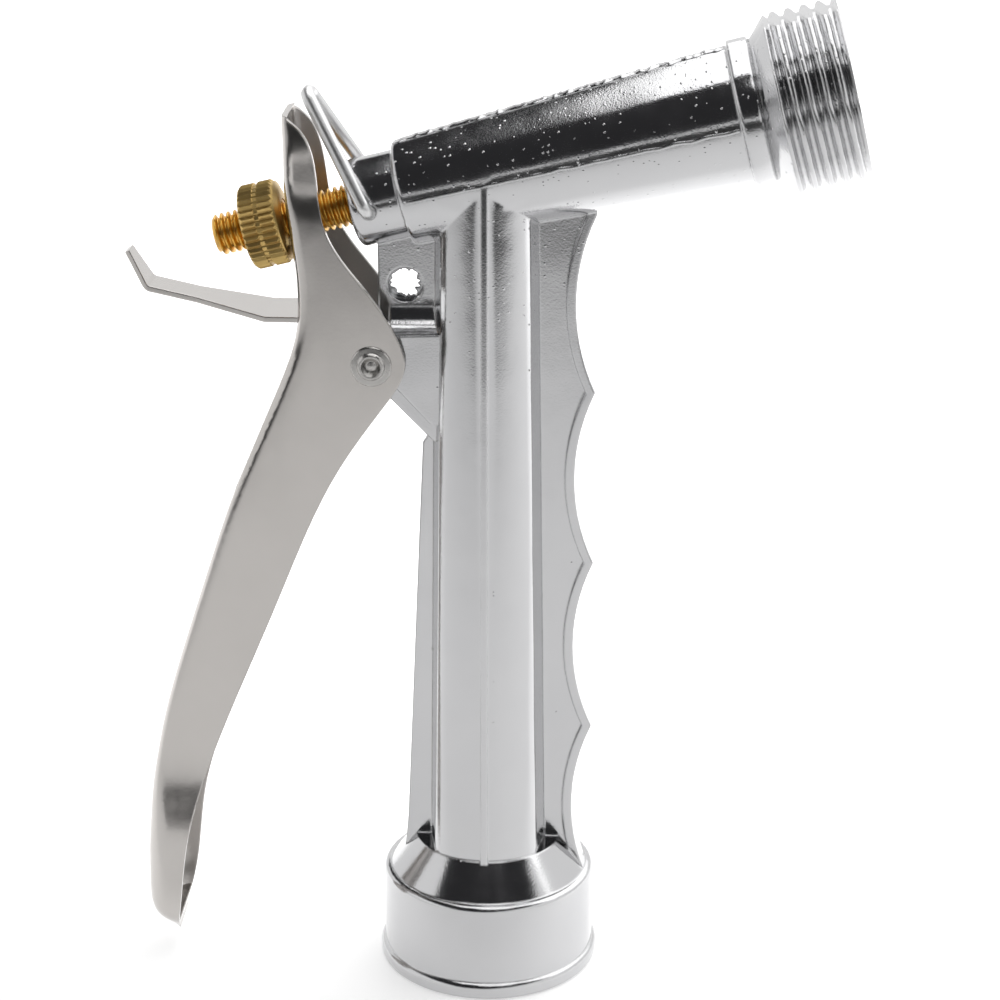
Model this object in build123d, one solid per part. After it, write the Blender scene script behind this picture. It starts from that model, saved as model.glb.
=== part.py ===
from build123d import *
from math import cos, pi, radians, sin, sqrt
import os

# A rear-trigger garden hose nozzle, in millimetres.
# The origin is the centre of the inlet collar's open end. Z runs up the grip, X towards the
# outlet, and the part is symmetric about the XZ plane, where the two casting dies met.

# ---- Driving dimensions ----------------------------------------------------------------
# Stations are measured along the barrel's axis from the grip's axis, forwards.
# Body casting
barrel_height = 125.2       # where the barrel's axis crosses the grip's axis
barrel_tilt = 13.9          # barrel above the horizontal, degrees
barrel_rear = -12.5
barrel_front_radius = 10.0
hub_rear = -19.9
ring_rear = 36.8
ring_front = 39.9
ring_radius = 10.6
thread_rear = 42.6
thread_front = 53.1
thread_radius = 13.4        # 3/4 garden hose thread, over the crests
thread_flat_top = 12.2      # flats along the parting line, from the barrel's axis
thread_flat_base = 12.8
thread_chamfer = 0.6
neck_radius = 10.2
collar_wall = 3.75          # outside the inlet thread's crests
collar_height = 15.6
collar_rounding = 0.9
lip_overhang = 0.65         # beyond the collar
lip_height = 2.4
shoulder_top = 20.8
shoulder_radius = 11.2
grip_base = 12.0            # heights between which the grip's tube tapers
grip_top = barrel_height - 0.2
grip_base_depth = 11.3      # from the mid-plane to the tube's near face
grip_top_depth = 7.9
grip_base_half_width = 7.7
grip_top_half_width = 6.2
grip_draft = 1.2            # how much the tube's sides spread towards the flanges
flange_half = 1.8
bead_half = 2.6
bead_width = 1.4
scallop_base = 13.35
scallop_top_gap = 5.25      # from the last scallop to the barrel's axis
scallop_count = 4
cusp_reach = 15.8
valley_reach = 12.9
rear_flange_top = -9.5
rear_flange_base = -13.2
cheek_gap = 0.3             # between the block and each cheek of the lever
block_rim_step = 1.4        # how far the block's lower rim stands back from its face
bracket_half = 2.0
bracket_rear = -15.7
eye_x = -11.8
eye_rise = 11.0             # above the lever's pivot
eye_radius = 2.6
seam_width = 1.0
seam_height = 0.35

# Waterways
inlet_radius = 12.5         # female 3/4 garden hose thread, over its crests
inlet_thread_length = 9.4
relief_step = 0.5           # how much wider the washer's recess is than the thread
inlet_depth = 12.6
grip_bore = 4.9
chamber_gap = 0.7           # round the valve disc
chamber_rear = -9.5
packing_wall = 2.1          # the packing's own thickness, and its pocket's, round the rod
packing_pocket_rear = -14.6
seat_station = 33.4
seat_wall = 3.2
seat_thickness = 4.0
seat_chamfer = 1.2
orifice_gap = 0.4           # round the cone's full width
mouth_radius = 10.4
mouth_depth = 11.0
hub_wall = 1.45
barrel_step = 1.15          # from the hub out to the barrel's rear end

# Valve stem and what rides on it
stem_radius = 3.0           # M6 thread, over the crests
stem_rear = -40.4
stem_chamfer = 0.5
stem_thread_front = -16.0
rod_relief = 0.2            # the plain rod's radius below the thread's crests
rod_front = 28.0
spigot_step = 0.8           # the spigot's radius below the rod's
spigot_engagement = 3.0
stem_clearance = 0.08
disc_rim = 2.9
disc_thickness = 2.2
washer_inset = 0.1
washer_thickness = 2.4
cone_wall = 1.2
cone_length = 9.0
cone_land = 3.4             # its parallel part, before the taper
cone_tip_radius = 0.9
spring_wire = 0.9           # wire diameter
spring_coils = 11
packing_length = 2.6
gland_length = 1.2
packing_gap = 0.02
gland_gap = 0.1

# Adjusting nut
nut_wall = 3.15             # outside the stem's thread
nut_length = 5.1
nut_front = -29.8
nut_boss_wall = 1.3
nut_boss_length = 0.7
nut_teeth = 38
tooth_depth = 0.45
nut_groove_width = 0.65
nut_groove_depth = 0.3
nut_chamfer = 0.4
nut_thread_gap = 0.05

# Lever
pivot_x = -16.5
pivot_drop = 27.2           # below the crossing of the two axes
lever_foot = 3.8            # its lower end, above the inlet's open end
lever_wall = 0.8
lever_half_top = 6.4
lever_spread = 3.1          # extra half-width at its spoon-shaped lower end
lever_spread_top = 37.0     # heights above its foot's between which it spreads
lever_spread_base = 17.0
lever_tip_share = 0.5       # how much of its width is left at its rounded lower end
lever_tip_length = 9.0
lever_pinch = 1.4           # how much each cheek leans in over the top of the lever
lever_pinch_length = 15.0
lever_corner = 1.8          # outer rounding of the channel's back, and near its lower end
lever_corner_base = 4.0
lever_floor = 6.5
slot_gap = 0.5              # on each side of the stem
slot_gap_below = 0.6
slot_gap_above = 4.2        # the slot drops over the stem as the lever turns
spur_root_half = 5.0
spur_waist_half = 2.9
spur_tip_half = 1.0
spur_rise = 6.4             # its root, above the pivot
window_height = 26.0

# Rivet, wire bail and hose washer
rivet_radius = 1.9
rivet_head_overhang = 1.1
rivet_head_height = 0.7
rivet_rim = 0.55            # the rolled rim round its dimple
rivet_gap = 0.05
bail_station, bail_drop = -17.0, -0.3
bail_wire = 1.0
bail_gap = 0.8              # from each leg to the lever or the hub between them
bail_apex_half = 1.5
bail_apex_x = -25.4
bail_apex_rise = 11.3       # above the crossing of the two axes
bail_pin_gap = 0.05
bail_hole_depth = 2.6
hose_washer_gap = 0.1
hose_washer_inner = 7.0
hose_washer_thickness = 3.0

# Sizes that follow from the ones above
rod_radius = stem_radius - rod_relief
spigot_radius = rod_radius - spigot_step
packing_pocket_radius = rod_radius + packing_wall
hub_radius = packing_pocket_radius + hub_wall
barrel_rear_radius = hub_radius + barrel_step
disc_radius = spigot_radius + disc_rim
washer_radius = disc_radius - washer_inset
chamber_radius = disc_radius + chamber_gap
cone_radius = spigot_radius + cone_wall
orifice_radius = cone_radius + orifice_gap
seat_radius = orifice_radius + seat_wall
washer_rear = rod_front + disc_thickness
cone_rear = washer_rear + washer_thickness
spigot_front = cone_rear + spigot_engagement
gland_rear = packing_pocket_rear + packing_length
spring_rear = gland_rear + gland_length
nut_radius = stem_radius + nut_wall
nut_boss_radius = stem_radius + nut_boss_wall
slot_half_width = stem_radius + slot_gap
slot_below = stem_radius + slot_gap_below
slot_above = stem_radius + slot_gap_above
pivot_z = barrel_height - pivot_drop
eye_z = pivot_z + eye_rise
spur_z = pivot_z + spur_rise
block_half = lever_half_top - lever_wall - cheek_gap
block_rim_half = block_half - block_rim_step
rivet_head_radius = rivet_radius + rivet_head_overhang
rivet_dimple = rivet_radius - rivet_rim
bail_half = max(lever_half_top, hub_radius) + bail_wire + bail_gap
bail_apex_z = barrel_height + bail_apex_rise
scallop_pitch = (barrel_height - scallop_top_gap - scallop_base) / scallop_count
relief_radius = inlet_radius + relief_step
hose_washer_outer = relief_radius - hose_washer_gap
collar_radius = inlet_radius + collar_wall
lip_radius = collar_radius + lip_overhang

# ---- Shared shapes ---------------------------------------------------------------------
on_barrel = Pos(0, 0, barrel_height) * Rot(0, 90 - barrel_tilt, 0)


def turned(points):
    """A solid of revolution about Z from (radius, height) corners."""
    outline = Polyline([(r, 0, z) for r, z in points], close=True)
    return revolve(make_face(outline), Axis.Z)


def plate(edges, half):
    """A plate about the mid-plane, from edges drawn in (X, Z)."""
    return extrude(Plane.XZ * make_face(edges), amount=half, both=True)


def polygon_plate(points, half):
    return plate(Polyline(points, close=True), half)


def disc(radius, low, high):
    return Pos(0, 0, low) * Cylinder(radius, high - low, align=(Align.CENTER, Align.CENTER, Align.MIN))


def station(s, n=0.0):
    """The X and Z of a point s along the barrel's axis and n above it."""
    tilt = radians(barrel_tilt)
    return s * cos(tilt) - n * sin(tilt), barrel_height + s * sin(tilt) + n * cos(tilt)


def ring_edges(solid, radius, height):
    """The circular edges of a turned solid at one radius and height."""
    return solid.edges().filter_by(GeomType.CIRCLE).filter_by(
        lambda e: abs(e.radius - radius) < 1e-3 and abs(e.arc_center.Z - height) < 1e-3
    )


# ---- Nozzle body: one zinc die casting ---------------------------------------------------
def inlet_collar():
    """The round inlet collar with its rolled lip and the sloped shoulder above it."""
    collar = turned([
        (0, 0), (lip_radius, 0), (lip_radius, lip_height), (collar_radius, lip_height + 0.3),
        (collar_radius, collar_height), (collar_radius - 1.1, collar_height),
        (shoulder_radius, shoulder_top), (0, shoulder_top),
    ])
    collar = fillet(ring_edges(collar, collar_radius, collar_height), collar_rounding)
    lip = ring_edges(collar, lip_radius, lip_height) + ring_edges(collar, lip_radius, 0)
    return fillet(lip, 0.9)


def grip_section(height, half_width, depth):
    """The tube's outline at one height: round near and far faces, drafted sides."""
    corner = sqrt(depth ** 2 - half_width ** 2)
    wide = half_width + grip_draft
    near = ThreePointArc((-half_width, -corner), (0, -depth), (half_width, -corner))
    far = ThreePointArc((half_width, corner), (0, depth), (-half_width, corner))
    right = Polyline((half_width, -corner), (wide, -flange_half), (wide, flange_half), (half_width, corner))
    left = Polyline(
        (-half_width, corner), (-wide, flange_half), (-wide, -flange_half), (-half_width, -corner)
    )
    return Pos(0, 0, height) * make_face(near + right + far + left)


def front_flange():
    """The finger flange: a thin plate with scallops and a thicker bead along its edge."""
    cusps = [scallop_base + scallop_pitch * i for i in range(scallop_count + 1)]
    scallops = [
        ThreePointArc((cusp_reach, a), (valley_reach, (a + b) / 2), (cusp_reach, b))
        for a, b in zip(cusps, cusps[1:])
    ]
    buried = barrel_height
    inner = Polyline(
        (cusp_reach, cusps[-1]), (cusp_reach, buried), (2, buried), (2, cusps[0]), (cusp_reach, cusps[0])
    )
    edges = Curve() + scallops + inner
    bead = plate(edges, bead_half) - Pos(-bead_width, 0, 0) * plate(edges, bead_half + 1)
    return plate(edges, flange_half) + bead


def rear_flange():
    return polygon_plate([
        (-2, 14), (rear_flange_base, 14), (rear_flange_base + 0.9, 24), (rear_flange_top, pivot_z - 13),
        (rear_flange_top + 1.9, pivot_z - 10), (-2, pivot_z - 10),
    ], flange_half)


def pivot_block():
    """The thick block that the lever's rivet passes through, with its web and eye above."""
    boss_radius = rivet_radius + 2.3
    block_top = pivot_z + 4.6
    boss = Plane.XZ * Pos(pivot_x, pivot_z) * Circle(boss_radius)
    block = extrude(boss, amount=block_half, both=True)
    block += polygon_plate([
        (-4, block_top), (pivot_x, pivot_z + boss_radius), (pivot_x, pivot_z),
        (pivot_x + 3.2, pivot_z - 3.3), (-8.2, pivot_z - 8.9), (-4, pivot_z - 10),
    ], block_half)
    block += polygon_plate([
        (-4, block_top), (pivot_x, pivot_z + boss_radius), (pivot_x, pivot_z),
        (pivot_x + 2.1, pivot_z - 5.2), (-7.8, pivot_z - 12), (-4, pivot_z - 14),
    ], block_rim_half)
    flare_run = 4.5
    side = make_face(
        ThreePointArc(
            (-block_half, block_top - 0.5), (-bracket_half - 0.9, block_top + 1.2),
            (-bracket_half, block_top + flare_run),
        )
        + Line((-bracket_half, block_top + flare_run), (bracket_half, block_top + flare_run))
        + ThreePointArc(
            (bracket_half, block_top + flare_run), (bracket_half + 0.9, block_top + 1.2),
            (block_half, block_top - 0.5),
        )
        + Line((block_half, block_top - 0.5), (-block_half, block_top - 0.5))
    )
    flare = Pos(bracket_rear + 1.6, 0, 0) * extrude(Plane.YZ * side, amount=9)
    web = polygon_plate([
        (bracket_rear, pivot_z), (bracket_rear, pivot_z + 20), (0, pivot_z + 24), (0, pivot_z),
    ], bracket_half)
    return block + flare + web


def barrel_outside():
    """The hub, tapering barrel, front ring, neck and male thread, about the barrel's axis."""
    hub = disc(hub_radius, hub_rear, 0)
    hub = fillet(ring_edges(hub, hub_radius, hub_rear), 1.0)
    barrel = turned([
        (0, barrel_rear), (barrel_rear_radius, barrel_rear), (barrel_front_radius, ring_rear + 1),
        (0, ring_rear + 1),
    ])
    barrel = fillet(ring_edges(barrel, barrel_rear_radius, barrel_rear), 0.8)
    ring = disc(ring_radius, ring_rear, ring_front)
    ring = fillet(ring_edges(ring, ring_radius, ring_rear) + ring_edges(ring, ring_radius, ring_front), 0.4)
    neck = turned([
        (0, ring_front - 1), (neck_radius, ring_front - 1), (neck_radius, ring_front + 0.3),
        (thread_radius, thread_rear), (thread_radius, thread_front - thread_chamfer),
        (thread_radius - thread_chamfer, thread_front), (0, thread_front),
    ])
    flats = Pos((thread_flat_base - thread_flat_top) / 2, 0, thread_front) * Box(
        thread_flat_top + thread_flat_base, 60, 2 * (thread_front - ring_front))
    return hub + barrel + ring + (neck & (flats + disc(ring_radius, ring_rear, ring_front)))


def seam_ribs():
    """The narrow raised seams down the middle of both sides of the grip."""
    run = grip_top - grip_base
    near = [grip_base_depth + seam_height, grip_top_depth + seam_height]
    outline = Plane.YZ * make_face(Polyline(
        (-near[0], grip_base + 5), (near[0], grip_base + 5), (near[1], grip_base + run),
        (-near[1], grip_base + run), close=True,
    ))
    return extrude(outline, amount=seam_width / 2, both=True)


def waterways():
    """Everything cut out of the casting: threads' cores, bores, pocket, mouth and holes."""
    grip_line = disc(inlet_radius, -1, inlet_thread_length) + disc(grip_bore, 0, barrel_height)
    grip_line += disc(relief_radius, inlet_thread_length, inlet_depth)
    line = disc(rod_radius + 0.25 + stem_clearance, hub_rear - 1, 0)
    line += disc(packing_pocket_radius, packing_pocket_rear, 0)
    line += disc(chamber_radius, chamber_rear, thread_front)
    line += disc(seat_radius, seat_station, thread_front + 1)
    line += disc(mouth_radius, thread_front - mouth_depth, thread_front + 1)
    bail_x, bail_z = station(bail_station, bail_drop)
    pin_hole = Plane.XZ * Pos(bail_x, bail_z) * Circle(bail_wire + bail_pin_gap)
    pins = extrude(pin_hole, amount=hub_radius + 1, both=True)
    pins -= extrude(pin_hole, amount=hub_radius - bail_hole_depth, both=True)
    rivet = extrude(Plane.XZ * Pos(pivot_x, pivot_z) * Circle(rivet_radius + rivet_gap), amount=20, both=True)
    eye = extrude(Plane.XZ * Pos(eye_x, eye_z) * Circle(eye_radius), amount=bracket_half + 1, both=True)
    return [grip_line, on_barrel * line, pins, rivet, eye]


def nozzle_body():
    grip = loft([
        grip_section(grip_base, grip_base_half_width, grip_base_depth),
        grip_section(grip_top, grip_top_half_width, grip_top_depth),
    ], ruled=True)
    body = inlet_collar() + grip + front_flange() + rear_flange() + pivot_block() + seam_ribs()
    body += on_barrel * barrel_outside()
    for cut in waterways():
        body -= cut
    return body


# ---- Lever: pressed steel channel --------------------------------------------------------
# Its back and its front edges in (X, Z) from the pivot, each from one end to the other.
BACK = [(-12.4, 36), (-12.35, 31.5), (-12.25, 27), (-12.0, 23), (-11.5, 19), (-10.6, 10), (-11.1, 4),
        (-13.1, -2), (-17.4, -12), (-21.5, -22), (-25.8, -34.5), (-29.9, -47), (-33.0, -58), (-33.85, -62),
        (-34.6, -66), (-35.15, -70), (-35.5, -74), (-35.8, -78), (-35.93, -81.5), (-36.0, -85),
        (-35.4, -90.5), (-33.1, -94.2)]
FRONT = [(-32.0, -93.4), (-30.8, -87), (-29.5, -77), (-25.4, -63), (-14.8, -37.5), (-5.0, -16), (2.1, -5.7),
         (4.9, 0), (3.6, 4.7), (-0.7, 11.3), (-6.1, 19.5), (-7.5, 28), (-8.7, 32.6), (-11.5, 35.6)]


def about_pivot(points):
    """Outline points in place, with those below the pivot stretched to reach the lever's foot."""
    stretch = (pivot_z - lever_foot) / -BACK[-1][1]
    return [(pivot_x + x, pivot_z + z * (stretch if z < 0 else 1)) for x, z in points]


def eased(value, start, end):
    """0 up to the start and 1 past the end, with a smooth rise between them."""
    share = min(max((value - start) / (end - start), 0), 1)
    return share * share * (3 - 2 * share)


def lever_shell(inside):
    """The channel's outer surface, or the surface a given distance inside it, as a solid."""
    sections = []
    spine = about_pivot(BACK)
    for i, (x, z) in enumerate(spine):
        before, after = spine[max(i - 1, 0)], spine[min(i + 1, len(spine) - 1)]
        lean = (after[0] - before[0]) / (after[1] - before[1])
        flare = eased(-z, -lever_spread_top, -lever_spread_base)
        pinch = eased(z, spine[0][1] - lever_pinch_length, spine[0][1])
        tip = max(1 - (z - lever_foot) / lever_tip_length, 0)
        half = lever_half_top + lever_spread * flare - lever_pinch * pinch
        half *= 1 - (1 - lever_tip_share) * tip ** 2
        corner = lever_corner + (lever_corner_base - lever_corner) * flare
        corner = min(corner, half - 0.3) - inside
        half -= inside
        back = x + inside * sqrt(1 + lean ** 2)
        outline = Polyline((back + corner, half), (0, half), (0, -half), (back + corner, -half))
        outline += RadiusArc((back, -half + corner), (back + corner, -half), -corner)
        outline += Line((back, -half + corner), (back, half - corner))
        outline += RadiusArc((back + corner, half), (back, half - corner), -corner)
        sections.append(Pos(0, 0, z) * make_face(outline))
    return loft(sections)


def spur():
    """The hand stop lanced from the lever's back and bent out over the palm."""
    run = FilletPolyline(
        (-26.9, spur_z), (-32.0, spur_z), (-42.2, spur_z + 2.2), (-49.4, spur_z + 3.8), (-52.2, spur_z + 8.9),
        radius=1.5,
    )
    side = extrude(Plane.XZ * trace(run, lever_wall), amount=10, both=True)
    halves = [
        (-26, spur_root_half), (-32, spur_root_half), (-42.2, spur_waist_half),
        (-49.4, spur_waist_half), (-53, spur_tip_half),
    ]
    plan = make_face(Polyline(halves + [(x, -half) for x, half in reversed(halves)], close=True))
    return side & extrude(plan, amount=200)


def lever():
    edge = about_pivot(FRONT)
    low, high = edge[0], edge[-1]
    behind = make_face(Spline(edge) + Polyline(
        high, (high[0], high[1] + 10), (-70, high[1] + 10), (-70, low[1] - 10), (low[0], low[1] - 10), low))
    solid = lever_shell(0) & extrude(Plane.XZ * behind, amount=20, both=True)
    solid -= lever_shell(lever_wall) - Box(200, 60, 2 * lever_floor)
    slot = Pos(-(slot_above - slot_below) / 2, 0, -30) * Box(
        slot_above + slot_below, 2 * slot_half_width, 12)
    solid -= on_barrel * slot
    solid -= Pos(-30, 0, spur_z - window_height / 2) * Box(24, 2 * spur_root_half + 0.4, window_height)
    solid -= extrude(Plane.XZ * Pos(pivot_x, pivot_z) * Circle(rivet_radius), amount=20, both=True)
    return solid + spur()


def pivot_rivet():
    """A tubular rivet through both cheeks and the body's block, rolled over at both ends."""
    end = lever_half_top
    rim = end + rivet_head_height
    flat = end + rivet_head_height * 0.4
    bottom = end - 0.15
    points = [
        (0, 0), (rivet_radius, 0), (rivet_radius, end), (rivet_head_radius, end),
        (rivet_head_radius, flat - 0.15), (rivet_head_radius - 0.2, flat), (rivet_radius + 0.2, flat + 0.05),
        (rivet_radius, rim - 0.1), (rivet_radius - 0.15, rim), (rivet_dimple + 0.1, rim),
        (rivet_dimple, rim - 0.15), (0.75, bottom), (0.35, bottom + 0.1), (0, bottom + 0.15),
    ]
    half = turned(points)
    return Pos(pivot_x, 0, pivot_z) * (Rot(90, 0, 0) * half + Rot(-90, 0, 0) * half)


# ---- Bail: one bent wire -----------------------------------------------------------------
def hold_open_bail():
    foot_x, foot_z = station(bail_station, bail_drop)
    pin_end = hub_radius - bail_hole_depth + 0.3
    path = FilletPolyline(
        (foot_x, -pin_end, foot_z), (foot_x, -bail_half, foot_z), (bail_apex_x, -bail_apex_half, bail_apex_z),
        (bail_apex_x, bail_apex_half, bail_apex_z), (foot_x, bail_half, foot_z), (foot_x, pin_end, foot_z),
        radius=1.25,
    )
    section = Plane(origin=path @ 0, z_dir=path % 0) * Circle(bail_wire)
    return sweep(section, path=path)


# ---- Valve train ---------------------------------------------------------------------------
def valve_stem():
    thread = disc(stem_radius, stem_rear, stem_thread_front)
    thread = chamfer(ring_edges(thread, stem_radius, stem_rear), stem_chamfer)
    rod = disc(rod_radius, stem_thread_front, rod_front)
    spigot = disc(spigot_radius, rod_front, spigot_front)
    return on_barrel * (thread + rod + spigot)


def collared(outer, inner, low, high):
    """A ring about the barrel's axis between two stations."""
    return on_barrel * (disc(outer, low, high) - disc(inner, low - 1, high + 1))


def stem_packing():
    """The rubber sleeve that seals the rod where it leaves the hub."""
    return collared(packing_pocket_radius, rod_radius + packing_gap, packing_pocket_rear, gland_rear)


def packing_washer():
    """The thin brass washer between the packing and the spring."""
    return collared(packing_pocket_radius - gland_gap, rod_radius + gland_gap, gland_rear, spring_rear)


def valve_disc():
    """The brass disc on the spigot that the spring pushes on."""
    return collared(disc_radius, spigot_radius, rod_front, washer_rear)


def valve_washer():
    """The rubber washer that closes on the outlet seat."""
    return collared(washer_radius, spigot_radius, washer_rear, cone_rear)


def valve_cone():
    """The brass tip that clamps the valve washer and tapers through the seat."""
    cone = turned([
        (0, cone_rear), (cone_radius, cone_rear), (cone_radius, cone_rear + cone_land),
        (cone_tip_radius, cone_rear + cone_length), (0, cone_rear + cone_length),
    ])
    return on_barrel * (cone - disc(spigot_radius, cone_rear - 1, spigot_front))


def outlet_seat():
    """The seat ring pressed into the barrel, with a chamfered orifice."""
    front = seat_station + seat_thickness
    seat = turned([
        (orifice_radius, seat_station), (seat_radius, seat_station), (seat_radius, front),
        (orifice_radius + seat_chamfer, front), (orifice_radius, front - seat_chamfer),
    ])
    return on_barrel * seat


def return_spring():
    """The valve spring, one helix of round wire between the gland washer and the disc."""
    length = rod_front - spring_rear - 2 * spring_wire
    pitch = length / spring_coils
    radius = disc_radius - spring_wire
    path = Helix(pitch, length, radius)
    section = Plane(origin=path @ 0, z_dir=path % 0) * Circle(spring_wire / 2)
    coil = sweep(section, path=path, is_frenet=True)
    return on_barrel * Pos(0, 0, spring_rear + spring_wire) * coil


def adjusting_nut():
    """The knurled brass nut: two toothed bands, a groove between them and a smooth boss."""
    step = pi / nut_teeth
    teeth = []
    for i in range(nut_teeth * 2):
        radius = nut_radius - (tooth_depth if i % 2 else 0)
        teeth.append((radius * cos(i * step), radius * sin(i * step)))
    rear = nut_front - nut_boss_length - nut_length
    knurl = Pos(0, 0, rear) * extrude(make_face(Polyline(teeth, close=True)), amount=nut_length)
    front = rear + nut_length
    knurl &= turned([
        (0, rear), (nut_radius - nut_chamfer, rear), (nut_radius, rear + nut_chamfer),
        (nut_radius, front - nut_chamfer), (nut_radius - nut_chamfer, front), (0, front),
    ])
    middle = rear + nut_length / 2
    knurl -= disc(nut_radius + 1, middle - nut_groove_width / 2, middle + nut_groove_width / 2) - disc(
        nut_radius - nut_groove_depth, middle - 1, middle + 1)
    boss = turned([
        (0, front - 0.2), (nut_radius - nut_chamfer, front - 0.2), (nut_radius - nut_chamfer, front + 0.2),
        (nut_boss_radius, nut_front), (0, nut_front),
    ])
    return on_barrel * (knurl + boss - disc(stem_radius + nut_thread_gap, rear - 1, nut_front + 1))


def hose_washer():
    top = inlet_depth
    return disc(hose_washer_outer, top - hose_washer_thickness, top) - disc(
        hose_washer_inner, top - hose_washer_thickness - 1, top + 1)


# ---- Nodes -----------------------------------------------------------------------------------
nodes = {
    "nozzle_body": nozzle_body,
    "lever": lever,
    "pivot_rivet": pivot_rivet,
    "hold_open_bail": hold_open_bail,
    "adjusting_nut": adjusting_nut,
    "valve_stem": valve_stem,
    "stem_packing": stem_packing,
    "packing_washer": packing_washer,
    "return_spring": return_spring,
    "valve_disc": valve_disc,
    "valve_washer": valve_washer,
    "valve_cone": valve_cone,
    "outlet_seat": outlet_seat,
    "hose_washer": hose_washer,
}

os.makedirs("parts", exist_ok=True)
for name, make in nodes.items():
    export_step(make(), f"parts/{name}.step")
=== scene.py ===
from math import ceil, cos, pi, radians, sin

import bmesh
import bpy
from mathutils import Matrix, Vector, noise


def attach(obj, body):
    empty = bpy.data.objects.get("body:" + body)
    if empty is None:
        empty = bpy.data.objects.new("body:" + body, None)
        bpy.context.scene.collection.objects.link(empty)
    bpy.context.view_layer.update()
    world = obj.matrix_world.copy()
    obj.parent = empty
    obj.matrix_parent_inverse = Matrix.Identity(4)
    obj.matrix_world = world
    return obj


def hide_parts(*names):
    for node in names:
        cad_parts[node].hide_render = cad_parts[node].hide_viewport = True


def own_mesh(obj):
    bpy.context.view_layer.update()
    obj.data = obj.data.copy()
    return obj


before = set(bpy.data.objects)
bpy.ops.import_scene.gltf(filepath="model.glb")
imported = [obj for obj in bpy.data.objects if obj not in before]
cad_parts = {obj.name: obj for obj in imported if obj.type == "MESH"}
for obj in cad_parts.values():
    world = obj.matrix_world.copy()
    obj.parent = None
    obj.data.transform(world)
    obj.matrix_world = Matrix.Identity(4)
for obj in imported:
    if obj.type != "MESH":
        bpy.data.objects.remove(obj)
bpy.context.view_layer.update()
MM = 0.001

# ---- Camera, sweep and lamps -------------------------------------------------------------
# A pale table top, with painted shade far in front and a painted glow, under a bright low
# surround, with a dark upper room, one long softbox overhead and a small one in front of it,
# so that the plating shows light and dark bands as metal does.
scene = bpy.context.scene
scene.view_settings.view_transform = "Standard"
scene.view_settings.look = "None"

camera = bpy.data.objects.new("camera", bpy.data.cameras.new("camera"))
camera.data.sensor_width = 36
camera.data.lens = 98.23
camera.location = (0.022991, -0.380537, 0.21705)
camera.rotation_euler = (radians(90 - 20.379), 0, radians(3.189))
scene.collection.objects.link(camera)
scene.camera = camera


def new_nodes(owner):
    """An emptied node tree, with functions that add a node and link two sockets."""
    owner.use_nodes = True
    tree = owner.node_tree
    tree.nodes.clear()

    def add(kind, inputs=None, **settings):
        node = tree.nodes.new(kind)
        for name, value in settings.items():
            setattr(node, name, value)
        for key, value in (inputs or {}).items():
            if isinstance(value, bpy.types.NodeSocket):
                tree.links.new(value, node.inputs[key])
            else:
                node.inputs[key].default_value = value
        return node

    return tree, add


def glowing(name, colour, strength):
    material = bpy.data.materials.new(name)
    tree, add = new_nodes(material)
    light = add("ShaderNodeEmission", {"Color": (*colour, 1), "Strength": strength})
    add("ShaderNodeOutputMaterial", {"Surface": light.outputs[0]})
    return material


# The surround is white below a line and dark above it. The line, as a direction's Z, is higher
# behind and lower in front, and rises towards the right and towards the far left.
line_height, rise_behind, rise_right = 0.22, 0.24, 0.55
left_from, rise_left = -0.45, 1.3
line_softness = 0.09
room_dark = (0.03, 0.03, 0.032)
surround = bpy.data.worlds.new("surround")
scene.world = surround
tree, add = new_nodes(surround)
direction = add("ShaderNodeTexCoord").outputs["Generated"]
aim = add("ShaderNodeSeparateXYZ", {0: direction}).outputs
right = add("ShaderNodeMath", {0: aim["X"], 1: 0.0}, operation="MAXIMUM").outputs[0]
left = add("ShaderNodeMath", {0: aim["X"], 1: left_from}, operation="MINIMUM").outputs[0]
lower = add("ShaderNodeMath", {0: aim["Y"], 1: -rise_behind, 2: -line_height},
            operation="MULTIPLY_ADD").outputs[0]
lower = add("ShaderNodeMath", {0: right, 1: -rise_right, 2: lower},
            operation="MULTIPLY_ADD").outputs[0]
lower = add("ShaderNodeMath", {0: left, 1: rise_left, 2: lower},
            operation="MULTIPLY_ADD").outputs[0]
lower = add("ShaderNodeMath", {0: lower, 1: -left_from * rise_left}, operation="ADD").outputs[0]
height = add("ShaderNodeMath", {0: aim["Z"], 1: lower}, operation="ADD").outputs[0]
ramp = add("ShaderNodeValToRGB", {"Fac": height})
ramp.color_ramp.interpolation = "EASE"
ramp.color_ramp.elements[0].position = 0.0
ramp.color_ramp.elements[0].color = (1.0, 1.0, 1.0, 1)
ramp.color_ramp.elements[1].position = line_softness
ramp.color_ramp.elements[1].color = (*room_dark, 1)
sky = add("ShaderNodeBackground", {"Color": ramp.outputs["Color"], "Strength": 1.0})
add("ShaderNodeOutputWorld", {"Surface": sky.outputs[0]})

# The table's colour is pale under the nozzle and behind it and darkens far in front, a painted
# shade. It also has a painted glow of its own, graded by depth and given as (Y in metres, grey).
half_floor = 4.0
pale, painted_shade_grey = (0.76, 0.76, 0.76), (0.03, 0.03, 0.03)
shade_from, shade_to = -0.58, -0.32
painted_glow = [(-1.2, 0.0), (-0.576, 0.0), (-0.42, 0.12), (-0.225, 0.20), (-0.0365, 0.27),
        (-0.0144, 0.46), (0.022, 0.62), (0.1, 0.80)]
floor_mesh = bpy.data.meshes.new("table_top")
floor_mesh.from_pydata(
    [(-half_floor, -half_floor, 0), (half_floor, -half_floor, 0), (half_floor, half_floor, 0),
     (-half_floor, half_floor, 0)], [], [(0, 1, 2, 3)])
floor = bpy.data.objects.new("table_top", floor_mesh)
scene.collection.objects.link(floor)
material = bpy.data.materials.new("pale_table")
tree, add = new_nodes(material)
place = add("ShaderNodeTexCoord").outputs["Object"]
depth = add("ShaderNodeSeparateXYZ", {0: place}).outputs["Y"]
glow_from, glow_to = painted_glow[0][0], painted_glow[-1][0]
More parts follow.
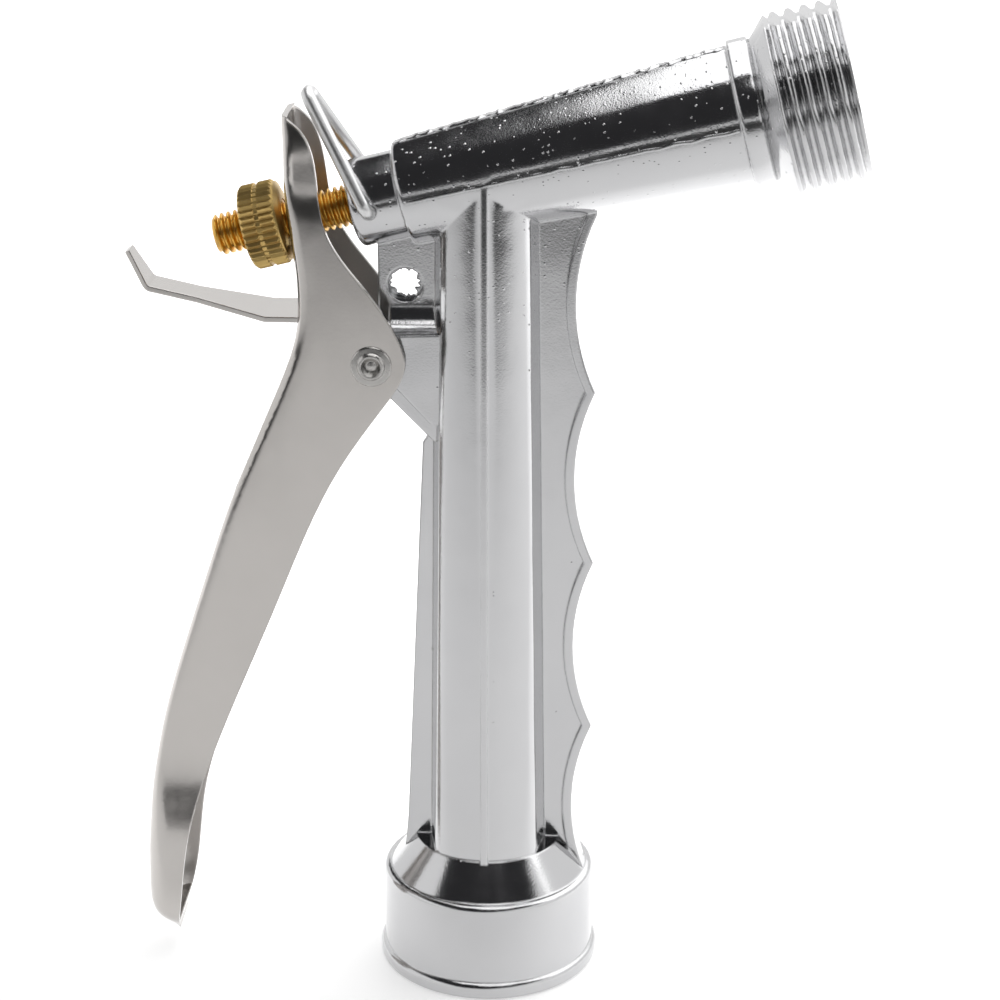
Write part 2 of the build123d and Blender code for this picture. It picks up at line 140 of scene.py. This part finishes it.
# Painted light: the table glows by itself, most behind and under the nozzle and none far in front.
along = add("ShaderNodeMapRange", {
    "Value": depth, "From Min": glow_from, "From Max": glow_to, "To Min": 0.0, "To Max": 1.0})
painted_glow_ramp = add("ShaderNodeValToRGB", {"Fac": along.outputs[0]})
painted_glow_ramp.color_ramp.elements[0].color = (painted_glow[0][1],) * 3 + (1,)
painted_glow_ramp.color_ramp.elements[1].color = (painted_glow[-1][1],) * 3 + (1,)
for y, grey in painted_glow[1:-1]:
    stop = painted_glow_ramp.color_ramp.elements.new((y - glow_from) / (glow_to - glow_from))
    stop.color = (grey, grey, grey, 1)
# Painted shade: the table's colour fades from pale to near black far in front.
painted_shade_mask = add("ShaderNodeMapRange", {
    "Value": depth, "From Min": shade_from, "From Max": shade_to, "To Min": 0.0, "To Max": 1.0})
shade = add("ShaderNodeMix", {0: painted_shade_mask.outputs[0], 6: (*painted_shade_grey, 1), 7: (*pale, 1)},
            data_type="RGBA")
paint = add("ShaderNodeBsdfPrincipled", {
    "Base Color": shade.outputs[2], "Roughness": 0.9,
    "Emission Color": painted_glow_ramp.outputs["Color"], "Emission Strength": 1.0})
add("ShaderNodeOutputMaterial", {"Surface": paint.outputs[0]})
floor_mesh.materials.append(material)


def softbox(name, x, y, height, strength):
    """A level glowing card between two X and two Y, in metres."""
    mesh = bpy.data.meshes.new(name)
    mesh.from_pydata([(x[0], y[0], height), (x[0], y[1], height), (x[1], y[1], height),
                      (x[1], y[0], height)], [], [(0, 1, 2, 3)])
    mesh.materials.append(glowing(name, (1, 1, 1), strength))
    card = bpy.data.objects.new(name, mesh)
    scene.collection.objects.link(card)


softbox("softbox_overhead", (-0.33, 1.65), (-0.30, 2.0), 1.0, 2.05)
softbox("softbox_front", (-0.12, 0.42), (-0.70, -0.40), 1.0, 1.9)


# ---- Nozzle body ---------------------------------------------------------------------------
# One zinc die casting, plated bright. It has soft cast corners, a slightly rippled skin, and a
# thin line of flash wherever the two dies and the cores met.
barrel_tilt, barrel_height = radians(13.9), 125.2
barrel_place = (Matrix.Translation((0, 0, barrel_height * MM))
                @ Matrix.Rotation(pi / 2 - barrel_tilt, 4, "Y"))
neck_radius, neck_end = 10.2, 40.2
joint_station = 40.05
outlet_bore, mouth_radius, mouth_rear = 6.8, 10.4, 42.1
thread_rear, thread_front, thread_crest = 42.6, 53.1, 13.4
thread_root = 12.2
thread_pitch = 2.209
flat_above, flat_below = 12.2, 12.8


def new_piece(name, mesh, material, body, sharp=32):
    """An object for a finished mesh, shaded smooth up to an angle, on its CAD body."""
    mesh.materials.clear()
    mesh.materials.append(material)
    mesh.shade_smooth()
    mesh.set_sharp_from_angle(angle=radians(sharp))
    piece = bpy.data.objects.new(name, mesh)
    scene.collection.objects.link(piece)
    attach(piece, body)
    return piece


def joined_copy(node):
    """A copy of a CAD node's mesh, its loose triangles joined, as a bmesh."""
    work = bmesh.new()
    work.from_mesh(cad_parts[node].data)
    bmesh.ops.remove_doubles(work, verts=work.verts, dist=1e-6)
    return work


def to_mesh(work, name):
    mesh = bpy.data.meshes.new(name)
    work.to_mesh(mesh)
    work.free()
    for old in ("custom_normal", "sharp_edge"):
        if old in mesh.attributes:
            mesh.attributes.remove(mesh.attributes[old])
    return mesh


def lathe(profile, segments, place, name):
    """A closed ring or a closed solid of revolution about Z from (station, radius) points in mm."""
    work = bmesh.new()
    rings = []
    for station, radius in profile:
        if radius == 0:
            rings.append([work.verts.new((0, 0, station * MM))])
        else:
            rings.append([work.verts.new((radius * cos(2 * pi * k / segments) * MM,
                                          radius * sin(2 * pi * k / segments) * MM,
                                          station * MM)) for k in range(segments)])
    closed = profile[0][1] > 0
    pairs = list(zip(rings, rings[1:])) + ([(rings[-1], rings[0])] if closed else [])
    for low, high in pairs:
        for k in range(segments):
            corners = [low[k % len(low)], low[(k + 1) % len(low)],
                       high[(k + 1) % len(high)], high[k % len(high)]]
            work.faces.new(list(dict.fromkeys(corners)))
    bmesh.ops.recalc_face_normals(work, faces=work.faces)
    mesh = bpy.data.meshes.new(name)
    work.to_mesh(mesh)
    work.free()
    mesh.transform(place)
    return mesh


def rows(start, end, step):
    """Evenly spaced stations from start to end, no further apart than the step."""
    count = ceil(abs(end - start) / step)
    return [start + (end - start) * i / count for i in range(count + 1)]


def metal(name, colour, worn, roughness, ripple=(0, 0), peel=(0, 0), pits=(0, 0), specks=(0, 0),
          corner=0.0, dull_inside=0.0):
    """A metal finish: two close colours, uneven polish, and a skin that is rippled and pitted.

    Ripple, peel, pits and specks are each a size in mm and a height in mm. Specks are single
    raised dots, many above the grip and few on it. Corner is the softened radius of its edges
    in mm. Dull inside is roughness added to faces that look towards the middle plane.
    """
    patch_scale, smear_scale = 60, 240
    speck_share_low, speck_share_high = 0.005, 0.28
    speck_low, speck_high = 0.10, 0.13
    speck_radius = 0.32
    material = bpy.data.materials.new(name)
    tree, add = new_nodes(material)
    place = add("ShaderNodeTexCoord").outputs["Object"]
    patches = add("ShaderNodeTexNoise", {
        "Vector": place, "Scale": patch_scale, "Detail": 5, "Roughness": 0.6})
    mix = add("ShaderNodeMix", data_type="RGBA")
    tree.links.new(patches.outputs["Fac"], mix.inputs[0])
    mix.inputs[6].default_value = (*colour, 1)
    mix.inputs[7].default_value = (*worn, 1)
    smears = add("ShaderNodeTexNoise", {
        "Vector": place, "Scale": smear_scale, "Detail": 6, "Roughness": 0.65})
    polish = add("ShaderNodeMapRange", {
        "Value": smears.outputs["Fac"], "From Min": 0.3, "From Max": 0.7,
        "To Min": roughness[0], "To Max": roughness[1]}).outputs[0]
    if dull_inside:
        across = add("ShaderNodeSeparateXYZ", {0: place}).outputs["Y"]
        normal = add("ShaderNodeTexCoord").outputs["Normal"]
        facing = add("ShaderNodeSeparateXYZ", {0: normal}).outputs["Y"]
        outward = add("ShaderNodeMath", {0: across, 1: facing}, operation="MULTIPLY").outputs[0]
        inward = add("ShaderNodeMath", {0: outward, 1: -1 * MM}, operation="LESS_THAN").outputs[0]
        polish = add("ShaderNodeMath", {0: inward, 1: dull_inside, 2: polish},
                     operation="MULTIPLY_ADD").outputs[0]
    normal = None
    if corner:
        normal = add("ShaderNodeBevel", {"Radius": corner * MM}, samples=6).outputs[0]
    for size, height, detail in ((*ripple, 1), (*peel, 2), (*pits, 0)):
        if not size:
            continue
        field = add("ShaderNodeTexNoise", {
            "Vector": place, "Scale": 1 / (size * MM), "Detail": detail,
            "Roughness": 0.5}).outputs["Fac"]
        bump = add("ShaderNodeBump", {"Strength": 1.0, "Distance": height * MM, "Height": field})
        if normal is not None:
            tree.links.new(normal, bump.inputs["Normal"])
        normal = bump.outputs[0]
    if specks[0]:
        cells = add("ShaderNodeTexVoronoi", {"Vector": place, "Scale": 1 / (specks[0] * MM)})
        rare = add("ShaderNodeSeparateXYZ", {0: cells.outputs["Color"]}).outputs[0]
        high = add("ShaderNodeSeparateXYZ", {0: place}).outputs["Z"]
        share = add("ShaderNodeMapRange", {
            "Value": high, "From Min": speck_low, "From Max": speck_high,
            "To Min": 1 - speck_share_low, "To Max": 1 - speck_share_high}).outputs[0]
        chosen = add("ShaderNodeMath", {0: rare, 1: share}, operation="GREATER_THAN").outputs[0]
        lump = add("ShaderNodeMapRange", {
            "Value": cells.outputs["Distance"], "From Min": 0.0, "From Max": speck_radius,
            "To Min": 1.0, "To Max": 0.0}, interpolation_type="SMOOTHSTEP").outputs[0]
        field = add("ShaderNodeMath", {0: lump, 1: chosen}, operation="MULTIPLY").outputs[0]
        bump = add("ShaderNodeBump", {"Strength": 1.0, "Distance": specks[1] * MM, "Height": field})
        if normal is not None:
            tree.links.new(normal, bump.inputs["Normal"])
        normal = bump.outputs[0]
    surface = add("ShaderNodeBsdfPrincipled", {
        "Base Color": mix.outputs[2], "Metallic": 1.0, "Roughness": polish})
    if normal is not None:
        tree.links.new(normal, surface.inputs["Normal"])
    add("ShaderNodeOutputMaterial", {"Surface": surface.outputs[0]})
    return material


plating = metal("bright_plating", (0.60, 0.60, 0.605), (0.54, 0.54, 0.55), (0.10, 0.17),
                ripple=(9, 0.08), peel=(0.38, 0.006), pits=(0.24, 0.005), specks=(0.7, 0.06),
                corner=0.5)

work = joined_copy("nozzle_body")
axis = barrel_place.to_3x3() @ Vector((0, 0, 1))
cut_at = barrel_place @ Vector((0, 0, joint_station * MM))
cut = bmesh.ops.bisect_plane(
    work, geom=work.verts[:] + work.edges[:] + work.faces[:], dist=1e-7,
    plane_co=cut_at, plane_no=axis, clear_outer=True)
rim = [e for e in cut["geom_cut"] if isinstance(e, bmesh.types.BMEdge)]
bmesh.ops.triangle_fill(work, use_beauty=True, use_dissolve=False, edges=rim)
body_mesh = to_mesh(work, "nozzle_body_casting")
body = new_piece("nozzle_body_casting", body_mesh, plating, "housing")
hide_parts("nozzle_body")


def thread_tree():
    """Geometry nodes that cut a helical thread into a finely divided round bar about Z."""
    flank_slope, groove_share, outer_share = 0.68, 0.5, 0.86
    tree = bpy.data.node_groups.new("cut_thread", "GeometryNodeTree")
    face = tree.interface
    face.new_socket("Geometry", in_out="INPUT", socket_type="NodeSocketGeometry")
    for name in ("Pitch", "Depth", "Crest", "Start", "End", "Run Out", "Flat Above", "Flat Below"):
        face.new_socket(name, in_out="INPUT", socket_type="NodeSocketFloat")
    face.new_socket("Material", in_out="INPUT", socket_type="NodeSocketMaterial")
    face.new_socket("Geometry", in_out="OUTPUT", socket_type="NodeSocketGeometry")
    given = tree.nodes.new("NodeGroupInput").outputs

    def math(operation, *values):
        node = tree.nodes.new("ShaderNodeMath")
        node.operation = operation
        for socket, value in zip(node.inputs, values):
            if isinstance(value, bpy.types.NodeSocket):
                tree.links.new(value, socket)
            else:
                socket.default_value = value
        return node.outputs[0]

    def link(a, b):
        tree.links.new(a, b)

    position = tree.nodes.new("GeometryNodeInputPosition").outputs[0]
    split = tree.nodes.new("ShaderNodeSeparateXYZ")
    link(position, split.inputs[0])
    x, y, z = split.outputs
    radius = math("SQRT", math("ADD", math("MULTIPLY", x, x), math("MULTIPLY", y, y)))
    turn = math("SUBTRACT", math("DIVIDE", z, given["Pitch"]),
                math("DIVIDE", math("ARCTAN2", y, x), 2 * pi))
    wave = math("MULTIPLY", math("COSINE", math("MULTIPLY", turn, 2 * pi)), flank_slope)
    groove = math("MINIMUM", math("MAXIMUM", math("ADD", wave, groove_share), 0.0), 1.0)
    rising = math("DIVIDE", math("SUBTRACT", z, given["Start"]), given["Run Out"])
    falling = math("DIVIDE", math("SUBTRACT", given["End"], z), given["Run Out"])
    window = math("MINIMUM", math("MAXIMUM", math("MINIMUM", rising, falling), 0.0), 1.0)
    outer = math("GREATER_THAN", radius, math("MULTIPLY", given["Crest"], outer_share))
    cut = math("MULTIPLY", math("MULTIPLY", groove, window),
               math("MULTIPLY", outer, given["Depth"]))
    shrink = math("DIVIDE", math("SUBTRACT", radius, cut), math("MAXIMUM", radius, 1e-6))
    flat = math("MINIMUM", math("MAXIMUM", math("MULTIPLY", x, shrink),
                                math("MULTIPLY", given["Flat Above"], -1)), given["Flat Below"])
    moved = tree.nodes.new("ShaderNodeCombineXYZ")
    link(flat, moved.inputs[0])
    link(math("MULTIPLY", y, shrink), moved.inputs[1])
    link(z, moved.inputs[2])
    place = tree.nodes.new("GeometryNodeSetPosition")
    link(given["Geometry"], place.inputs["Geometry"])
    link(moved.outputs[0], place.inputs["Position"])
    real = tree.nodes.new("GeometryNodeRealizeInstances")
    link(place.outputs[0], real.inputs[0])
    finish = tree.nodes.new("GeometryNodeSetMaterial")
    link(real.outputs[0], finish.inputs["Geometry"])
    link(given["Material"], finish.inputs["Material"])
    out = tree.nodes.new("NodeGroupOutput")
    link(finish.outputs[0], out.inputs[0])
    return tree


def through_tree(mesh, tree, name, **values):
    """The plain mesh that a tree makes of a mesh, with the tree's inputs set by their names."""
    holder = bpy.data.objects.new(name + "_blank", mesh)
    scene.collection.objects.link(holder)
    modifier = holder.modifiers.new("nodes", "NODES")
    modifier.node_group = tree
    for item in tree.interface.items_tree:
        key = item.name.lower().replace(" ", "_")
        if item.item_type == "SOCKET" and item.in_out == "INPUT" and key in values:
            modifier[item.identifier] = values[key]
    bpy.context.view_layer.update()
    evaluated = holder.evaluated_get(bpy.context.evaluated_depsgraph_get())
    made = bpy.data.meshes.new_from_object(evaluated)
    made.name = name
    holder.modifiers.clear()
    bpy.data.objects.remove(holder)
    return made


cut_thread = thread_tree()
outlet_profile = (
    [(joint_station, outlet_bore), (mouth_rear, outlet_bore), (mouth_rear, mouth_radius),
     (thread_front - 0.3, mouth_radius), (thread_front, mouth_radius + 0.3),
     (thread_front, thread_crest - 0.7), (thread_front - 0.2, thread_crest - 0.4)]
    + [(s, thread_crest) for s in rows(thread_front - 0.6, thread_rear, 0.13)]
    + [(neck_end, neck_radius), (joint_station, neck_radius)])
outlet_blank = lathe(outlet_profile, 192, Matrix.Identity(4), "outlet_thread_blank")
outlet_mesh = through_tree(
    outlet_blank, cut_thread, "outlet_thread",
    pitch=thread_pitch * MM, depth=(thread_crest - thread_root) * MM, crest=thread_crest * MM,
    start=(thread_rear - 0.2) * MM, end=(thread_front + 0.1) * MM, run_out=0.9 * MM,
    flat_above=flat_above * MM, flat_below=flat_below * MM, material=plating)
outlet_mesh.transform(barrel_place)
new_piece("outlet_thread", outlet_mesh, plating, "housing", sharp=50)


def flash_line(name, path, out, width, height, seed):
    """A thin ragged ridge of flash along a run of (x, y, z) points in mm, standing out one way.

    Its foot is sunk a little into the casting.
    """
    coarse, fine, drift = 0.37, 1.3, 0.21
    foot = -0.3
    work = bmesh.new()
    previous = None
    for i, point in enumerate(path):
        along = (Vector(path[min(i + 1, len(path) - 1)]) - Vector(path[max(i - 1, 0)])).normalized()
        side = along.cross(Vector(out)).normalized()
        rough = (noise.noise(Vector((i * coarse, seed, 0)))
                 + 0.6 * noise.noise(Vector((i * fine, seed, 7))))
        end = min(i, len(path) - 1 - i)
        rise = height * max(0.12, 1 + 0.9 * rough) * min(1, (end + 0.2) / 3)
        sway = 0.3 * width * noise.noise(Vector((i * drift, seed, 3)))
        up = Vector(out).normalized()
        section = [(-0.5, foot), (-0.5, 0.0), (-0.16, rise * 0.86), (0.1, rise), (0.5, 0.0),
                   (0.5, foot)]
        ring = [work.verts.new((Vector(point) + side * (a * width + sway) + up * b) * MM)
                for a, b in section]
        if previous:
            for a in range(6):
                work.faces.new((previous[a], previous[(a + 1) % 6], ring[(a + 1) % 6], ring[a]))
        else:
            work.faces.new(ring)
        previous = ring
    work.faces.new(previous[::-1])
    bmesh.ops.recalc_face_normals(work, faces=work.faces)
    mesh = to_mesh(work, name)
    return new_piece(name, mesh, plating, "housing", sharp=60)


def on_barrel(station, radius, angle):
    """A point in mm at a station of the barrel, at an angle from its top towards the near side."""
    local = Vector((-radius * cos(angle), -radius * sin(angle), station)) * MM
    return tuple((barrel_place @ local) / MM)


def barrel_radius(station):
    """The barrel's taper, from its rear end to the front ring."""
    rear, rear_radius, front, front_radius = -12.5, 7.5, 37.8, 10.0
    return rear_radius + (front_radius - rear_radius) * (station - rear) / (front - rear)


# A wide ridge along the barrel's top, where the die was worn, and a fine one on each side.
up_from_barrel = barrel_place.to_3x3() @ Vector((-1, 0, 0))
ridge_end, ridge_sunk = 36.6, 0.02
for name, angle, out, start, step, width, height, seed in (
        ("flash_barrel_top", 0, up_from_barrel, -12.0, 0.35, 2.4, 0.26, 11),
        ("flash_barrel_near", pi / 2, (0, -1, 0), -11.5, 0.5, 0.6, 0.10, 5),
        ("flash_barrel_far", -pi / 2, (0, 1, 0), -11.5, 0.5, 0.6, 0.10, 6)):
    path = [on_barrel(s, barrel_radius(s) - ridge_sunk, angle)
            for s in rows(start, ridge_end, step)]
    flash_line(name, path, out, width, height, seed)

# The web's eye keeps a torn film of flash half way through it, where the two cores met.
eye_x, eye_z, eye_radius = -11.8, 109.0, 2.6
film_half, film_width, film_sunk, film_least = 0.14, 0.62, 0.15, 0.12
count = 90
work = bmesh.new()
loops = []
for y, outer in ((-film_half, False), (film_half, False), (film_half, True), (-film_half, True)):
    ring = []
    for k in range(count):
        a = 2 * pi * k / count
        tear = 1.2 * noise.noise(Vector((2.2 * cos(a), 2.2 * sin(a), 4.1)))
        tear += 0.7 * noise.noise(Vector((6 * cos(a), 6 * sin(a), 1.7)))
        inner = min(eye_radius - film_least, eye_radius - film_width + 0.75 * tear)
        r = eye_radius + film_sunk if outer else inner
        ring.append(work.verts.new(Vector((eye_x + r * cos(a), y, eye_z + r * sin(a))) * MM))
    loops.append(ring)
for a, b in zip(loops, loops[1:] + loops[:1]):
    for k in range(count):
        work.faces.new((a[k], a[(k + 1) % count], b[(k + 1) % count], b[k]))
bmesh.ops.recalc_face_normals(work, faces=work.faces)
new_piece("flash_eye", to_mesh(work, "flash_eye"), plating, "housing", sharp=40)


# ---- Lever -----------------------------------------------------------------------------------
# A squeeze lever pressed from thin sheet steel into a channel, plated and then satin from
# handling. Its hand stop is lanced out of the back, and a slot lets the stem through.
pressed = metal("satin_pressed_steel", (0.56, 0.535, 0.515), (0.49, 0.47, 0.45), (0.09, 0.15),
                ripple=(14, 0.04), peel=(0.5, 0.0015), corner=0.3, dull_inside=0.3)
lever_mesh = to_mesh(joined_copy("lever"), "squeeze_lever")
lever = new_piece("squeeze_lever", lever_mesh, pressed, "lever", sharp=28)
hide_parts("lever")

# ---- Pivot rivet -----------------------------------------------------------------------------
# A tubular steel rivet through both cheeks of the lever and the casting's block, with a
# rolled rim round the punch's dimple at each end.
riveted = metal("rivet_steel", (0.54, 0.53, 0.515), (0.42, 0.41, 0.395), (0.2, 0.32),
                peel=(0.8, 0.01), corner=0.2)
rivet_mesh = to_mesh(joined_copy("pivot_rivet"), "pivot_rivet_rolled")
rivet = new_piece("pivot_rivet_rolled", rivet_mesh, riveted, "lever")
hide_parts("pivot_rivet")

# ---- Hold-open bail --------------------------------------------------------------------------
# One bright drawn steel wire, bent so that its ends snap into the hub and its narrow end can
# prop the lever.
drawn = metal("bright_drawn_wire", (0.74, 0.74, 0.74), (0.62, 0.62, 0.62), (0.30, 0.42),
              peel=(1.0, 0.01))
bail_mesh = to_mesh(joined_copy("hold_open_bail"), "hold_open_wire")
bail = new_piece("hold_open_wire", bail_mesh, drawn, "bail", sharp=40)
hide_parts("hold_open_bail")

# ---- Adjusting nut -----------------------------------------------------------------------------
# A brass nut turned from bar, with two straight-knurled bands. It sets how far the lever
# draws the stem.
nut_brass = metal("dull_nut_brass", (0.66, 0.46, 0.17), (0.50, 0.35, 0.13), (0.30, 0.44),
                  peel=(0.9, 0.008), pits=(0.5, 0.01), corner=0.12)
nut_mesh = to_mesh(joined_copy("adjusting_nut"), "knurled_nut")
nut = new_piece("knurled_nut", nut_mesh, nut_brass, "nut", sharp=30)
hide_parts("adjusting_nut")

# ---- Valve stem --------------------------------------------------------------------------------
# A brass rod with a rolled M6 thread at its rear end for the nut. Its front end is turned down
# to carry the disc, the washer and the cone.
stem_brass = metal("stem_brass", (0.78, 0.46, 0.10), (0.60, 0.34, 0.07), (0.24, 0.36),
                   peel=(0.7, 0.006))
stem_rear, stem_crest, stem_root = -40.4, 3.0, 2.4
rod_start, rod_radius, rod_front, spigot_radius, spigot_front = -16.0, 2.8, 28.0, 2.0, 35.6
stem_profile = (
    [(stem_rear, 0), (stem_rear, stem_crest - 0.5)]
    + [(s, stem_crest) for s in rows(stem_rear + 0.5, rod_start, 0.1)]
    + [(rod_start, rod_radius), (rod_front, rod_radius), (rod_front, spigot_radius),
       (spigot_front, spigot_radius), (spigot_front, 0)])
stem_mesh = through_tree(
    lathe(stem_profile, 72, Matrix.Identity(4), "stem_blank"), cut_thread, "threaded_stem",
    pitch=1.0 * MM, depth=(stem_crest - stem_root) * MM, crest=stem_crest * MM,
    start=(stem_rear - 0.3) * MM, end=rod_start * MM, run_out=0.8 * MM,
    flat_above=1.0, flat_below=1.0, material=stem_brass)
stem_mesh.transform(barrel_place)
stem = new_piece("threaded_stem", stem_mesh, stem_brass, "stem", sharp=55)
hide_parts("valve_stem")

# ---- Valve parts inside the barrel ---------------------------------------------------------------
# Turned brass disc, cone, gland washer and seat, a drawn steel spring, and moulded rubber
# packing and washers, all pushed on or pressed in and hidden once the nozzle is together.
spring_steel = metal("spring_steel", (0.62, 0.62, 0.63), (0.48, 0.48, 0.5), (0.2, 0.32),
                     peel=(0.6, 0.004))


def moulded_rubber(name, colour):
    """Dark rubber with a fine matt grain and a little bloom."""
    material = bpy.data.materials.new(name)
    tree, add = new_nodes(material)
    place = add("ShaderNodeTexCoord").outputs["Object"]
    grain = add("ShaderNodeTexNoise", {"Vector": place, "Scale": 2600, "Detail": 3})
    bloom = add("ShaderNodeTexNoise", {"Vector": place, "Scale": 240, "Detail": 5})
    tone = add("ShaderNodeValToRGB", {"Fac": bloom.outputs["Fac"]})
    tone.color_ramp.elements[0].position, tone.color_ramp.elements[1].position = 0.35, 0.75
    tone.color_ramp.elements[0].color = (*colour, 1)
    tone.color_ramp.elements[1].color = (*[c * 1.9 for c in colour], 1)
    bump = add("ShaderNodeBump", {
        "Strength": 0.5, "Distance": 0.03 * MM, "Height": grain.outputs["Fac"]})
    surface = add("ShaderNodeBsdfPrincipled", {
        "Base Color": tone.outputs["Color"], "Roughness": 0.62, "Normal": bump.outputs[0]})
    add("ShaderNodeOutputMaterial", {"Surface": surface.outputs[0]})
    return material


rubber = moulded_rubber("moulded_rubber", (0.018, 0.018, 0.018))
for node, finish in (
        ("valve_disc", stem_brass), ("valve_cone", stem_brass), ("packing_washer", stem_brass),
        ("outlet_seat", stem_brass), ("stem_packing", rubber), ("valve_washer", rubber),
        ("hose_washer", rubber)):
    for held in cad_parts[node].material_slots:
        held.material = finish

# The spring is shut up by the stem's travel, between its rear end and the disc.
coil_mesh = to_mesh(joined_copy("return_spring"), "coil_spring")
coil = new_piece("coil_spring", coil_mesh, spring_steel, "housing", sharp=50)
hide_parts("return_spring")
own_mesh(coil)
